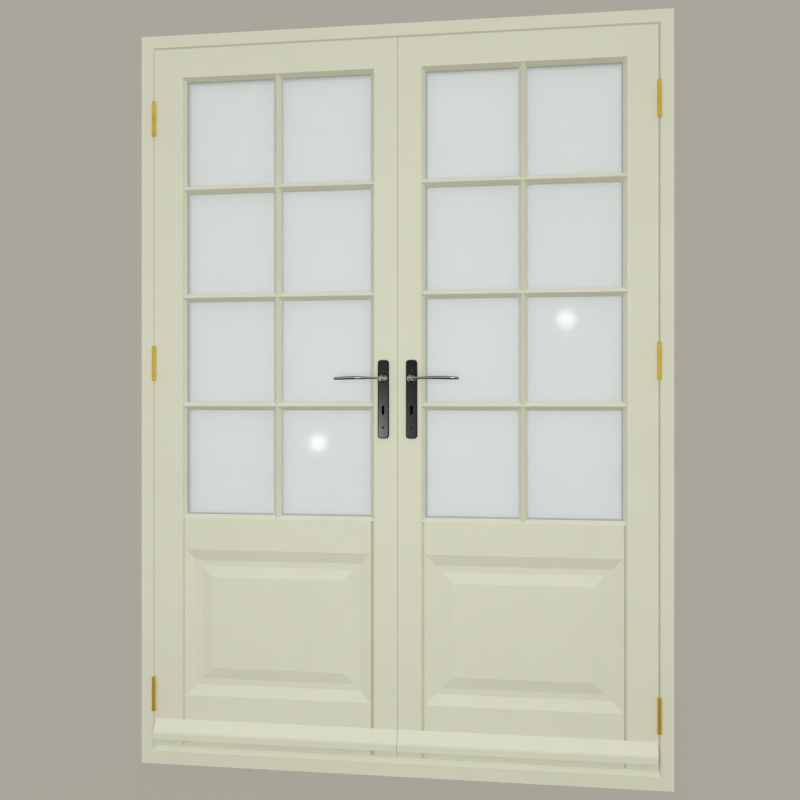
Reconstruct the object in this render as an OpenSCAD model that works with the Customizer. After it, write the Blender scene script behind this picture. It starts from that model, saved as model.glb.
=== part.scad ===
// A pair of painted timber French doors in their frame, seen from outside.
// Both leaves are hung on butt hinges and open outward. Each has eight small
// panes over a raised and fielded panel, a weatherboard and a lever handle.
// X runs to the right seen from outside, the outside is toward -Y and Z is up.
// The origin is on the underside of the sill, at mid width and mid depth.

/* [Frame] */
// Overall width of the frame
frame_w = 1490; // [1190:10:1790]
// Overall height of the frame, from under the sill to the top of the head
frame_h = 2090; // [1990:10:2290]
// Depth of the frame from outside to inside
frame_d = 94; // [88:1:120]
// Width of the jambs and the head beside the leaves
frame_face = 38.5; // [34:0.5:50]
// Width and depth of the chamfer round the frame's inner edge
frame_chamfer_w = 4.5; // [3:0.5:6]
// How far the stop stands in past the jamb face
stop_w = 16; // [14:1:20]
// Length of the tenons of the head and the sill
frame_tenon_l = 24; // [16:1:28]
// Height of the tenons of the head and the sill
frame_tenon_h = 20; // [14:1:22]

/* [Sill] */
// Height of the sill at its outside edge
sill_front_h = 37; // [34:1:50]
// Depth of the sill's weathered slope, which runs in under the leaves
sill_slope_w = 9; // [7:1:14]
// Height from the sill's outside edge to the underside of the leaves
sill_gap = 17; // [14:1:20]
// Gap between the sill and the underside of the leaves
sill_clear = 1.5; // [1:0.5:4]

/* [Leaves] */
// Thickness of a leaf
leaf_t = 56; // [52:1:60]
// Gap round a leaf at the jamb and the head
leaf_gap = 1.5; // [1.5:0.5:4]
// Gap between the two leaves at the outside face
meeting_gap = 1; // [1:0.5:4]
// How far the meeting edge slopes back toward the inside, so that the leaf can swing
meeting_bevel = 2.5; // [2:0.5:4]
// Face width of the stile on the hinge side
hinge_stile_w = 90.5; // [80:0.5:110]
// Face width of the stile on the meeting side
meeting_stile_w = 74; // [72:0.5:90]
// Height of the top rail
top_rail_h = 82.5; // [70:0.5:120]
// Height of the rail between the glass and the panel
lock_rail_h = 89; // [70:1:120]
// Height of the bottom rail
bottom_rail_h = 145.5; // [120:0.5:200]
// Height of the opening for the lower panel
panel_open_h = 419.5; // [360:0.5:520]
// Thickness of the tenons of the rails
rail_tenon_t = 16; // [12:1:20]
// Length of the tenons of the rails
rail_tenon_l = 14; // [10:1:15]
// Shoulder left above and below the tenon of a rail
tenon_shoulder = 15; // [8:1:25]
// Depth of the chamfer that runs down the inner edge of the stiles, below the glass
stile_chamfer_d = 8.5; // [4:0.5:10]

/* [Glazing] */
// Rows of panes in a leaf
pane_rows = 4; // [2:1:6]
// Columns of panes in a leaf
pane_columns = 2; // [1:1:3]
// How far the opening for the glass is cut into the stiles, past the shoulders of the rails
glass_cut = 8.5; // [4:0.5:10]
// Width of the moulding round the glass
mould_w = 10.5; // [10:0.5:14]
// Depth of the moulding round the glass
mould_d = 13; // [10:1:16]
// Depth of the glass behind the outside face of the leaf
glass_set = 18; // [17:1:20]
// Thickness of a sheet of glass
sheet_t = 4; // [3:1:6]
// Space between the two sheets
cavity = 16; // [12:1:18]
// Clearance round the edge of the glass
glass_clear = 3; // [2:0.5:4]
// Width of the spacer bar at the edge of the glass
spacer_w = 7; // [5:1:8]
// How far the spacer bar shows inside the moulding
spacer_show = 3; // [0:0.5:4]
// Width of a glazing bar
bar_w = 23; // [18:1:30]
// Height of the square base of a glazing bar
bar_base = 4; // [2:1:6]
// Width of the flat along the ridge of a glazing bar
ridge_w = 1.5; // [1:0.5:4]
// Depth of the ridge behind the face of the leaf
ridge_set = 1; // [0.5:0.5:3]
// Width of the flat on the glazing beads at the face of the leaf
bead_flat = 2; // [1:0.5:4]
// Width of the dummy spacer behind a glazing bar
grid_w = 19; // [12:1:22]
// Gap left where mouldings and bars are mitred or scribed together
mitre_gap = 0.05; // [0.02:0.01:0.2]

/* [Lower panel] */
// Width of the flat of the panel moulding, flush with the face
panel_flat = 1.5; // [1:0.5:16]
// Width of the sloping part of the panel moulding
panel_slope_w = 30; // [20:1:36]
// Depth of the panel's margin behind the face of the leaf
panel_sink = 9; // [6:1:12]
// Thickness of the panel moulding at its inner edge
panel_lip = 1; // [0.5:0.5:2]
// Width of the panel's flat margin
panel_margin = 18; // [12:1:26]
// Width of the bevel up to the raised field
panel_bevel = 31; // [18:1:36]
// Height of the raised field above the margin
panel_raise = 6; // [3:1:8]
// Clearance round the edge of the panel
panel_clear = 1.5; // [1:0.5:3]

/* [Weatherboard] */
// Height of the weatherboard's underside above the underside of the leaf
board_low = 22; // [16:1:44]
// Height of the weatherboard against the leaf
board_h = 55; // [44:1:64]
// How far the weatherboard stands out from the leaf
board_out = 20; // [20:1:36]
// Height of the weatherboard's front edge
board_nose_h = 16; // [6:1:20]
// Radius of the weatherboard's rounded nose
board_nose_r = 20; // [8:1:20]
// Distance from the weatherboard's end to the hinge edge of the leaf
board_short = 3; // [2:1:14]
// Radius of the drip groove under the weatherboard
drip_r = 3; // [2:0.5:4]

/* [Hinges] */
// Height of a butt hinge
hinge_h = 95; // [75:5:125]
// Radius of the knuckle
knuckle_r = 6; // [5:0.5:7]
// Radius of the hinge pin
hinge_pin_r = 3; // [2:0.5:3.5]
// Thickness of a hinge flap
flap_t = 2.5; // [2:0.5:3]
// Width of a hinge flap on the edge of the timber
flap_w = 30; // [24:1:38]
// Distance from the top of the leaf to the middle of the top hinge
hinge_drop = 199; // [150:1:260]
// Height of the middle of the middle hinge above the underside of the leaf
hinge_mid = 1096; // [800:1:1200]
// Height of the middle of the bottom hinge above the underside of the leaf
hinge_rise = 149; // [130:1:260]
// Gap between the knuckles, and from a knuckle to the timber
knuckle_clear = 0.3; // [0.25:0.05:0.5]
// Radial clearance of the pin in the knuckles
pin_clear = 0.05; // [0.02:0.01:0.1]
// Half the gap between the two flaps of a hinge
flap_half_gap = 0.4; // [0.3:0.05:0.6]

/* [Handles] */
// Distance from the meeting edge to the middle of the handle
backset = 39; // [37:0.5:42]
// Height of the middle of the backplate above the underside of the leaf
plate_rise = 993; // [900:1:1010]
// Length of the backplate
plate_l = 218; // [210:1:250]
// Width of the backplate
plate_w = 31.5; // [30:0.5:34]
// Thickness of the backplate
plate_t = 8; // [6:0.5:10]
// Radius of the corners of the backplate
plate_corner = 9; // [5:0.5:14]
// Radius of the rounded rim of the backplate
plate_rim = 3; // [1:0.5:4]
// Height of the lever above the middle of the backplate
lever_up = 57; // [55:1:62]
// Depth of the keyhole below the middle of the backplate
key_down = 30; // [26:1:36]
// Width of the keyhole
key_w = 7.7; // [6:0.1:8]
// Height of the keyhole
key_h = 24.5; // [20:0.5:26]
// Distance between the two screws of a backplate
screw_span = 156; // [150:1:160]
// Radius of the shank of a backplate screw
screw_r = 2; // [1.5:0.5:2.5]
// Radius of the head of a backplate screw
screw_head_r = 3.8; // [3.5:0.1:4.5]
// Length of a backplate screw
screw_l = 18; // [16:1:22]
// Radius of the flange on the neck of the lever
flange_r = 11.75; // [10:0.25:12]
// Thickness of the flange
flange_t = 4; // [2:0.5:6]
// Width of the chamfer on the flange's edge
flange_edge = 1; // [0.5:0.25:1.5]
// Gap between the flange and the backplate
flange_clear = 0.3; // [0.25:0.05:0.5]
// Radius of the neck of the lever
neck_r = 7.5; // [7:0.5:9]
// Distance from the leaf to the middle of the lever's arm
lever_out = 44; // [42:1:55]
// Length of the lever from its axis to its tip
lever_l = 135; // [110:1:140]
// Height of the arch of the lever
lever_arch = 2; // [0:0.5:8]
// How far the tip of the lever hangs below its axis
lever_droop = 0; // [0:0.5:8]
// How far the tip of the lever turns back toward the leaf
lever_return = 6; // [0:0.5:10]
// Width across the flats of the square spindle
spindle_w = 8; // [7:0.5:8.5]
// Radial running clearance of the neck and the follower
run_clear = 0.06; // [0.03:0.01:0.1]

/* [Lock and bolts] */
// Thickness of the lock case
case_t = 15; // [14:0.5:16]
// Depth of the lock case behind the spindle
case_back = 14; // [12:0.5:15]
// Height of the lock case above the spindle and below the keyhole
case_end = 40; // [30:1:50]
// Width of the forend and of the keep
forend_w = 20; // [18:1:22]
// Thickness of the forend and of the keep
forend_t = 3; // [2:0.5:3.5]
// Height of the forend and of the keep
forend_h = 235; // [230:1:250]
// Radius of the follower that the spindle turns
follower_r = 9; // [8:0.5:9]
// Thickness of the latch bolt
latch_t = 12; // [8:0.5:12]
// Height of the latch bolt
latch_h = 18; // [14:1:20]
// Throw of the latch bolt
latch_throw = 12; // [8:1:13]
// Thickness of the dead bolt
bolt_t = 10; // [8:0.5:12]
// Height of the dead bolt
bolt_h = 24; // [20:1:28]
// Throw of the dead bolt
bolt_throw = 20; // [12:1:20]
// Length of the dead bolt that stays in its case when it is thrown
bolt_hold = 10; // [8:1:10]
// Thickness of the curtain that closes the keyhole in the middle of the lock
curtain_t = 3; // [2:0.5:4]
// Clearance round a sliding bolt
slide_clear = 0.3; // [0.2:0.05:0.4]
// Clearance round a bolt in its keep
keep_clear = 0.6; // [0.5:0.1:1]
// Radius of the shoot bolts
shoot_r = 4; // [3:0.5:4.5]
// Throw of the shoot bolts
shoot_throw = 20; // [12:1:20]
// Distance of the shoot bolts to either side of the spindle
shoot_side = 10; // [9.5:0.5:10.5]
// Clearance between a shoot bolt's end and the edge of the leaf
shoot_back = 0.5; // [0.3:0.1:1]
// Wall of the sill keep
keep_wall = 3; // [2:0.5:4]
// Length of the head keep
keep_l = 40; // [34:1:50]
// Thickness of the head keep
keep_t = 2; // [1.5:0.5:3]

/* [Seals and fixings] */
// Gap between the leaf and the stop
seal_gap = 3; // [2.5:0.5:4]
// Gap between the bulb of the seal and the leaf
seal_clear = 0.4; // [0.3:0.1:0.6]
// Width of the seal's stem in its groove
stem_w = 3; // [2:0.5:4]
// Depth of the seal's groove
stem_d = 5; // [4:0.5:7]
// Distance of the pile strip behind the outside face
pile_set = 5; // [4:1:16]
// Width of the pile strip
pile_w = 4; // [3:0.5:6]
// Depth of the groove of the pile strip
pile_d = 4; // [3:0.5:6]
// How far the pile stands out of the meeting edge
pile_proud = 0.35; // [0.2:0.05:0.35]
// Radius of a fixing hole in a jamb
fixing_r = 4; // [3:0.5:5]
// Radius of the counterbore of a fixing hole
fixing_head_r = 8; // [7:0.5:9]
// Depth of the counterbore of a fixing hole
fixing_head_d = 10; // [6:1:16]
// Distance from the ends of a jamb to its first and last fixing holes
fixing_end = 245; // [150:5:300]
// Distance of the fixing holes from the inside face of the frame
fixing_back = 17; // [14:1:18]

/* [Hidden] */
$fn = 48;
// Clean cut past a face
past = 1;
jamb_x0 = -frame_w / 2;
jamb_x1 = jamb_x0 + frame_face;
stop_x = jamb_x1 + stop_w;
face_y = -frame_d / 2;
back_y = frame_d / 2;
leaf_back = face_y + leaf_t;
leaf_mid = face_y + leaf_t / 2;
stop_y = leaf_back + seal_gap;
head_z = frame_h - frame_face;
leaf_x0 = jamb_x1 + leaf_gap;
leaf_x1 = -meeting_gap / 2;
leaf_z0 = sill_front_h + sill_gap;
leaf_z1 = head_z - leaf_gap;
sill_top_z = leaf_z0 - sill_clear;
sill_stop_z = leaf_z0 + stop_w - leaf_gap;
open_x0 = leaf_x0 + hinge_stile_w;
open_x1 = leaf_x1 - meeting_stile_w;
panel_z0 = leaf_z0 + bottom_rail_h;
panel_z1 = panel_z0 + panel_open_h;
glass_z0 = panel_z1 + lock_rail_h;
glass_z1 = leaf_z1 - top_rail_h;
glass_x0 = open_x0 - glass_cut;
glass_x1 = open_x1 + glass_cut;
glass_y0 = face_y + glass_set;
glass_y1 = glass_y0 + 2 * sheet_t + cavity;
bar_pitch_x = (glass_x1 - glass_x0 - 2 * mould_w) / pane_columns;
bar_pitch_z = (glass_z1 - glass_z0 - 2 * mould_w) / pane_rows;
axis_x = jamb_x1 + leaf_gap / 2;
axis_y = face_y - knuckle_r - knuckle_clear;
hinge_zs = [leaf_z1 - hinge_drop, leaf_z0 + hinge_mid, leaf_z0 + hinge_rise];
knuckles = 5;
knuckle_h = hinge_h / knuckles;
handle_x = leaf_x1 - backset;
plate_z = leaf_z0 + plate_rise;
lever_z = plate_z + lever_up;
key_z = plate_z - key_down;
case_x0 = handle_x - case_back;
case_z0 = key_z - case_end;
case_z1 = lever_z + case_end;
forend_x1 = leaf_x1 - meeting_bevel * (leaf_t + forend_w) / (2 * leaf_t);
forend_x0 = forend_x1 - forend_t;
forend_z = (case_z0 + case_z1) / 2;
bolt_x1 = forend_x1 - slide_clear;
bolt_l = bolt_throw + bolt_hold;
// Room between the follower and the bolts beside it
follower_gap = 2;
latch_x0 = handle_x + follower_r + follower_gap;
// Length left square behind the sloping nose of the latch, out of its throw
latch_square = 2;
gear_wall = 3;
gear_x1 = handle_x + shoot_side + shoot_r + gear_wall;
top_shoot_x = handle_x - shoot_side;
low_shoot_x = handle_x + shoot_side;
seal_r = seal_gap - seal_clear;
seal_x = (leaf_x0 + stop_x) / 2;
head_seal_z = (leaf_z1 + head_z - stop_w) / 2;
sill_seal_z = (leaf_z0 + sill_stop_z) / 2;
fixing_y = back_y - fixing_back;
fixings = 4;
fixing_step = (frame_h - 2 * fixing_end) / (fixings - 1);
frame_tenon_inset = 8;
keep_r = shoot_r + keep_clear + keep_wall;
sill_keep_z0 = leaf_z0 - shoot_throw - 2 * keep_wall;

paint = "#cfd0bb";
pale_glass = "#d3d8d6";
alloy = "#abacb0";
brass = "#c8aa4b";
black = "#1c1b1a";
chrome = "#c4c6c8";
steel = "#9a9c9e";
rubber = "#3a3a38";
ivory = "#d6d2bc";

// Everything that comes in a pair is drawn for the left and mirrored for the right
module right_hand() mirror([1, 0, 0]) children();

// A box given by its limits
module block(x0, x1, y0, y1, z0, z1) translate([x0, y0, z0]) cube([x1 - x0, y1 - y0, z1 - z0]);

// A Y-Z outline run along X, an X-Y outline run along Z and an X-Z outline run along Y
module across(x0, x1) translate([x0, 0, 0]) rotate([90, 0, 90]) linear_extrude(x1 - x0) children();
module upright(z0, z1) translate([0, 0, z0]) linear_extrude(z1 - z0) children();
module through(y0, y1) translate([0, y1, 0]) rotate([90, 0, 0]) linear_extrude(y1 - y0) children();

// Points of an arc round a centre, from one angle to another
function arc(cx, cy, r, a0, a1, steps = 8) =
    [for (i = [0:steps]) let (a = a0 + (a1 - a0) * i / steps) [cx + r * cos(a), cy + r * sin(a)]];

// One mitred length of a moulding round an opening in the X-Z plane. The child is its section,
// depth along the first axis and width into the opening along the second.
// The sides count from the bottom, as bottom, meeting side, top and hinge side.
// The part of the section that is sunk in the timber stays held back from both ends.
module mitred(x0, x1, z0, z1, side, w, y0, y1, held = past) {
    along = side % 2 == 0 ? x1 - x0 : z1 - z0;
    corners = [[x0, z0], [x1, z0], [x1, z1], [x0, z1]];
    translate([corners[side][0], 0, corners[side][1]])
        rotate([0, -90 * side, 0])
            intersection() {
                across(0, along) children();
                through(y0 - past, y1 + past)
                    polygon([[held, -past], [along - held, -past], [along - held, 0],
                             [along - mitre_gap, 0], [along - mitre_gap - w, w],
                             [mitre_gap + w, w], [mitre_gap, 0], [held, 0]]);
            }
}

// A straight-sided hopper in the X-Z plane that narrows along Y.
// Its steps give the depth and the inset of each change, from its large end to its small one.
module hopper(x0, x1, z0, z1, steps) {
    back = [for (i = [len(steps) - 1:-1:0]) steps[i]];
    intersection() {
        upright(z0, z1)
            polygon(concat([for (s = steps) [x0 + s[1], s[0]]], [for (s = back) [x1 - s[1], s[0]]]));
        across(x0, x1)
            polygon(concat([for (s = steps) [s[0], z0 + s[1]]], [for (s = back) [s[0], z1 - s[1]]]));
    }
}

// FRAME

// Tenon at the left end of the head or the sill
module frame_tenon(z0) {
    block(jamb_x1 - frame_tenon_l, jamb_x1 + past,
          leaf_mid - frame_tenon_h / 2, leaf_mid + frame_tenon_h / 2, z0, z0 + frame_tenon_h);
}

module sill_tenon() frame_tenon(frame_tenon_inset);
module head_tenon() frame_tenon(frame_h - frame_tenon_inset - frame_tenon_h);

// Housing in the timber for one flap, on the given side of the hinge line
module flap_housing(z, x0, x1) {
    block(x0, x1, face_y - past, face_y + flap_w, z - hinge_h / 2, z + hinge_h / 2);
}

module fixing_hole(z) {
    translate([jamb_x0 - past, fixing_y, z])
        rotate([0, 90, 0])
            cylinder(r = fixing_r, h = frame_face + stop_w + 2 * past);
    translate([stop_x - fixing_head_d, fixing_y, z])
        rotate([0, 90, 0])
            cylinder(r = fixing_head_r, h = fixing_head_d + past);
}

// The chamfer round the frame's inner edge, cut out of the jambs and the head in one
module frame_chamfer() {
    x0 = jamb_x1 - frame_chamfer_w;
    hopper(x0, -x0, sill_front_h, head_z + frame_chamfer_w,
           [[face_y - past, 0], [face_y, 0], [face_y + frame_chamfer_w, frame_chamfer_w]]);
}

module jamb() {
    color(paint)
        difference() {
            upright(0, frame_h)
                polygon([[jamb_x0, face_y], [jamb_x1, face_y], [jamb_x1, stop_y],
                         [stop_x, stop_y], [stop_x, back_y], [jamb_x0, back_y]]);
            frame_chamfer();
            sill_tenon();
            head_tenon();
            for (z = hinge_zs)
                flap_housing(z, axis_x - flap_half_gap - flap_t, jamb_x1 + past);
            block(seal_x - stem_w / 2, seal_x + stem_w / 2, stop_y - past, stop_y + stem_d,
                  sill_top_z, head_z);
            for (i = [0:fixings - 1])
                fixing_hole(fixing_end + i * fixing_step);
        }
}

module left_jamb() jamb();
module right_jamb() right_hand() jamb();

module head() {
    color(paint)
        difference() {
            union() {
                block(jamb_x1, -jamb_x1, face_y, stop_y, head_z, frame_h);
                across(stop_x, -stop_x)
                    polygon([[face_y, head_z], [stop_y, head_z], [stop_y, head_z - stop_w],
                             [back_y, head_z - stop_w], [back_y, frame_h], [face_y, frame_h]]);
                head_tenon();
                right_hand() head_tenon();
            }
            frame_chamfer();
            block(stop_x - past, past - stop_x, stop_y - past, stop_y + stem_d,
                  head_seal_z - stem_w / 2, head_seal_z + stem_w / 2);
            translate([top_shoot_x, leaf_mid, head_z - past])
                cylinder(r = shoot_r + keep_clear, h = shoot_throw + 2 * past);
            block(top_shoot_x - keep_l / 2, top_shoot_x + keep_l / 2,
                  leaf_mid - forend_w / 2, leaf_mid + forend_w / 2, head_z - past, head_z + keep_t);
        }
}

module sill() {
    color(paint)
        difference() {
            union() {
                across(jamb_x1, -jamb_x1)
                    polygon([[face_y, 0], [stop_y, 0], [stop_y, sill_top_z],
                             [face_y + sill_slope_w, sill_top_z], [face_y, sill_front_h]]);
                across(stop_x, -stop_x)
                    polygon([[face_y, 0], [back_y, 0], [back_y, sill_stop_z], [stop_y, sill_stop_z],
                             [stop_y, sill_top_z], [face_y + sill_slope_w, sill_top_z],
                             [face_y, sill_front_h]]);
                sill_tenon();
                right_hand() sill_tenon();
            }
            block(stop_x - past, past - stop_x, stop_y - past, stop_y + stem_d,
                  sill_seal_z - stem_w / 2, sill_seal_z + stem_w / 2);
            translate([low_shoot_x, leaf_mid, sill_keep_z0])
                cylinder(r = keep_r, h = leaf_z0 - sill_keep_z0);
        }
}

// A length of bulb seal along Z, with its stem in the groove of the stop
module seal_strip(along) {
    block(-stem_w / 2, stem_w / 2, -seal_r / 2, stem_d, 0, along);
    intersection() {
        cylinder(r = seal_r, h = along);
        block(-seal_r, seal_r, -seal_r, 0, 0, along);
    }
}

module jamb_seal() translate([seal_x, stop_y, sill_top_z]) seal_strip(head_z - sill_top_z);
module cross_seal(z) translate([stop_x, stop_y, z]) rotate([0, 90, 0]) seal_strip(-2 * stop_x);

module frame_seals() {
    color(rubber) {
        jamb_seal();
        right_hand() jamb_seal();
        cross_seal(head_seal_z);
        cross_seal(sill_seal_z);
    }
}

// Plate in the head for the top shoot bolt, and socket in the sill for the bottom one
module bolt_keeps() {
    color(brass) {
        difference() {
            block(top_shoot_x - keep_l / 2, top_shoot_x + keep_l / 2,
                  leaf_mid - forend_w / 2, leaf_mid + forend_w / 2, head_z, head_z + keep_t);
            translate([top_shoot_x, leaf_mid, head_z - past])
                cylinder(r = shoot_r + keep_clear, h = keep_t + 2 * past);
        }
        translate([low_shoot_x, leaf_mid, sill_keep_z0])
            difference() {
                cylinder(r = keep_r, h = sill_top_z - sill_keep_z0);
                translate([0, 0, keep_wall])
                    cylinder(r = shoot_r + keep_clear, h = sill_top_z - sill_keep_z0);
            }
    }
}

// HINGES

// The knuckles of one flap with the flap itself, for the hinge with its middle at z.
// The frame flap has the odd knuckles and lies on the jamb, the leaf flap has the even ones.
module hinge_flap(z, first, flap_x0) {
    difference() {
        union() {
            block(flap_x0, flap_x0 + flap_t, face_y + knuckle_clear, face_y + flap_w,
                  z - hinge_h / 2, z + hinge_h / 2);
            for (i = [first:2:knuckles - 1]) {
                low = z - hinge_h / 2 + i * knuckle_h + (i == 0 ? 0 : knuckle_clear / 2);
                high = z - hinge_h / 2 + (i + 1) * knuckle_h - (i == knuckles - 1 ? 0 : knuckle_clear / 2);
                translate([axis_x, axis_y, low])
                    cylinder(r = knuckle_r, h = high - low);
                block(flap_x0, flap_x0 + flap_t, axis_y, face_y + 2 * knuckle_clear, low, high);
            }
        }
        translate([axis_x, axis_y, z - hinge_h / 2 - past])
            cylinder(r = hinge_pin_r + pin_clear, h = hinge_h + 2 * past);
    }
}

module hinge_frame_flaps() {
    color(brass)
        for (z = hinge_zs)
            hinge_flap(z, 0, axis_x - flap_half_gap - flap_t);
}

module hinge_leaf_flaps() {
    color(brass)
        for (z = hinge_zs)
            hinge_flap(z, 1, axis_x + flap_half_gap);
}

// A pin with a turned cap at each end, held by the outer knuckles
module hinge_pin(z) {
    cap_h = knuckle_r / 2;
    translate([axis_x, axis_y, z])
        rotate_extrude()
            polygon(concat(
                [[0, -hinge_h / 2 - cap_h]],
                arc(knuckle_r - cap_h, -hinge_h / 2, cap_h, -90, 0),
                [[hinge_pin_r, -hinge_h / 2], [hinge_pin_r, hinge_h / 2]],
                arc(knuckle_r - cap_h, hinge_h / 2, cap_h, 0, 90),
                [[0, hinge_h / 2 + cap_h]]));
}

module hinge_pins() {
    color(brass)
        for (z = hinge_zs) {
            hinge_pin(z);
            right_hand() hinge_pin(z);
        }
}

module left_hinge_frame_flaps() hinge_frame_flaps();
module right_hinge_frame_flaps() right_hand() hinge_frame_flaps();
module left_hinge_leaf_flaps() hinge_leaf_flaps();
module right_hinge_leaf_flaps() right_hand() hinge_leaf_flaps();

// LEAF TIMBERS

// One side of the chamfered moulding that is worked on the stiles and rails round the glass.
// On a rail it runs past the shoulders, over the cut in the stiles.
module glass_moulding(side) {
    held = side % 2 == 0 ? glass_cut : past;
    mitred(glass_x0, glass_x1, glass_z0, glass_z1, side, mould_w, face_y, glass_y0, held)
        polygon([[face_y, -past], [face_y, 0], [face_y + mould_d, mould_w],
                 [glass_y0, mould_w], [glass_y0, -past]]);
}

// Tenons at both ends of a rail that spans the given heights
module rail_tenons(z0, z1) {
    for (ends = [[open_x0 - rail_tenon_l, open_x0 + past], [open_x1 - past, open_x1 + rail_tenon_l]])
        block(ends[0], ends[1], leaf_mid - rail_tenon_t / 2, leaf_mid + rail_tenon_t / 2,
              z0 + tenon_shoulder, z1 - tenon_shoulder);
}

module all_rail_tenons() {
    rail_tenons(glass_z1, leaf_z1);
    rail_tenons(panel_z1, glass_z0);
    rail_tenons(leaf_z0, panel_z0);
}

// Chamfer of a stile below the glass, from its edge on the face down to the shoulders of the rails
module stile_chamfer(edge, shoulder) {
    over = shoulder + sign(shoulder - edge) * past;
    upright(leaf_z0 - past, glass_z0)
        polygon([[edge, face_y - past], [edge, face_y], [shoulder, face_y + stile_chamfer_d],
                 [over, face_y + stile_chamfer_d], [over, face_y - past]]);
}

// Room for the glass, cut out of the stiles
module glass_room() {
    block(glass_x0, glass_x1, face_y - past, leaf_back + past, glass_z0, glass_z1);
}

module hinge_stile() {
    color(paint)
        difference() {
            union() {
                difference() {
                    block(leaf_x0, open_x0, face_y, leaf_back, leaf_z0, leaf_z1);
                    glass_room();
                }
                glass_moulding(3);
            }
            all_rail_tenons();
            stile_chamfer(glass_x0, open_x0);
            for (z = hinge_zs)
                flap_housing(z, leaf_x0 - past, axis_x + flap_half_gap + flap_t);
        }
}

// The part of the lock that is cut right through the stile, for the spindle and the key
module lock_holes() {
    translate([handle_x, 0, lever_z])
        rotate([90, 0, 0])
            cylinder(r = neck_r, h = 2 * frame_d, center = true);
    block(handle_x - key_w / 2, handle_x + key_w / 2, -frame_d, frame_d,
          key_z - key_h / 2, key_z + key_h / 2);
}

module lock_pocket() {
    block(case_x0, forend_x0 + past, leaf_mid - case_t / 2, leaf_mid + case_t / 2, case_z0, case_z1);
    block(forend_x0, leaf_x1 + past, leaf_mid - forend_w / 2, leaf_mid + forend_w / 2,
          forend_z - forend_h / 2, forend_z + forend_h / 2);
}

// Edge of the leaf at the pile strip
pile_x = leaf_x1 - meeting_bevel * pile_set / leaf_t;

module pile_strip(proud) {
    block(pile_x - pile_d, pile_x + proud, face_y + pile_set - pile_w / 2, face_y + pile_set + pile_w / 2,
          leaf_z0, leaf_z1);
}

module meeting_stile() {
    difference() {
        union() {
            difference() {
                upright(leaf_z0, leaf_z1)
                    polygon([[open_x1, face_y], [leaf_x1, face_y],
                             [leaf_x1 - meeting_bevel, leaf_back], [open_x1, leaf_back]]);
                glass_room();
            }
            glass_moulding(1);
        }
        all_rail_tenons();
        stile_chamfer(glass_x1, open_x1);
        lock_holes();
        lock_pocket();
        pile_strip(pile_proud + past);
        all_plate_screws();
    }
}

module left_hinge_stile() hinge_stile();
module right_hinge_stile() right_hand() hinge_stile();
module right_meeting_stile() color(paint) right_hand() meeting_stile();

// The left stile is also bored from end to end for the shoot bolts
module left_meeting_stile() {
    color(paint)
        difference() {
            meeting_stile();
            translate([top_shoot_x, leaf_mid, case_z1 - past])
                cylinder(r = shoot_r + slide_clear, h = leaf_z1 - case_z1 + 2 * past);
            translate([low_shoot_x, leaf_mid, leaf_z0 - past])
                cylinder(r = shoot_r + slide_clear, h = case_z0 - leaf_z0 + 2 * past);
        }
}

// A rail between the stiles, with its tenons
module rail(z0, z1) {
    block(open_x0, open_x1, face_y, leaf_back, z0, z1);
    rail_tenons(z0, z1);
}

module top_rail() {
    color(paint) {
        rail(glass_z1, leaf_z1);
        glass_moulding(2);
    }
}

module lock_rail() {
    color(paint) {
        rail(panel_z1, glass_z0);
        glass_moulding(0);
    }
}

module bottom_rail() color(paint) rail(leaf_z0, panel_z0);

module left_top_rail() top_rail();
module right_top_rail() right_hand() top_rail();
module left_lock_rail() lock_rail();
module right_lock_rail() right_hand() lock_rail();
module left_bottom_rail() bottom_rail();
module right_bottom_rail() right_hand() bottom_rail();

// Pile strip in a groove of the meeting edge
module meeting_seal() color(ivory) pile_strip(pile_proud);
module left_meeting_seal() meeting_seal();
module right_meeting_seal() right_hand() meeting_seal();

// LOWER PANEL

// The panel is fielded on both faces and its margin is held between two planted mouldings
field_inset = panel_flat + panel_slope_w + panel_margin;

module raised_field() {
    low_y = face_y + panel_sink;
    hopper(open_x0 + field_inset, open_x1 - field_inset, panel_z0 + field_inset, panel_z1 - field_inset,
           [[low_y + past, 0], [low_y, 0], [low_y - panel_raise, panel_bevel]]);
}

module panel() {
    color(paint) {
        block(open_x0 + panel_clear, open_x1 - panel_clear, face_y + panel_sink, leaf_back - panel_sink,
              panel_z0 + panel_clear, panel_z1 - panel_clear);
        raised_field();
        mirror_faces() raised_field();
    }
}

// The inside of the leaf is the outside mirrored in the middle of its thickness
module mirror_faces() translate([0, 2 * leaf_mid, 0]) mirror([0, 1, 0]) children();

module panel_moulding_ring() {
    low_y = face_y + panel_sink;
    w = panel_flat + panel_slope_w;
    for (side = [0:3])
        mitred(open_x0, open_x1, panel_z0, panel_z1, side, w, face_y, low_y)
            polygon([[face_y, 0], [face_y, panel_flat], [low_y - panel_lip, w], [low_y, w], [low_y, 0]]);
}

module panel_mouldings() {
    color(paint) {
        panel_moulding_ring();
        mirror_faces() panel_moulding_ring();
    }
}

module left_panel() panel();
module right_panel() right_hand() panel();
module left_panel_mouldings() panel_mouldings();
module right_panel_mouldings() right_hand() panel_mouldings();

// WEATHERBOARD

module weatherboard() {
    z0 = leaf_z0 + board_low;
    z1 = z0 + board_h;
    nose_y = face_y - board_out;
    nose_z = z0 + board_nose_h;
    // The sloping top leaves the rounded nose at a tangent
    run = board_out - board_nose_r;
    rise = z1 - nose_z;
    away = atan2(rise, run) - asin(board_nose_r / norm([run, rise]));
    color(paint)
        difference() {
            across(leaf_x0 + board_short, leaf_x1)
                polygon(concat([[face_y, z0], [face_y, z1]],
                               arc(nose_y + board_nose_r, nose_z, board_nose_r, 90 + away, 180, 12),
                               [[nose_y, z0]]));
            translate([leaf_x0, nose_y + board_out / 3, z0])
                rotate([0, 90, 0])
                    cylinder(r = drip_r, h = leaf_x1 - leaf_x0 + past);
        }
}

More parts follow.
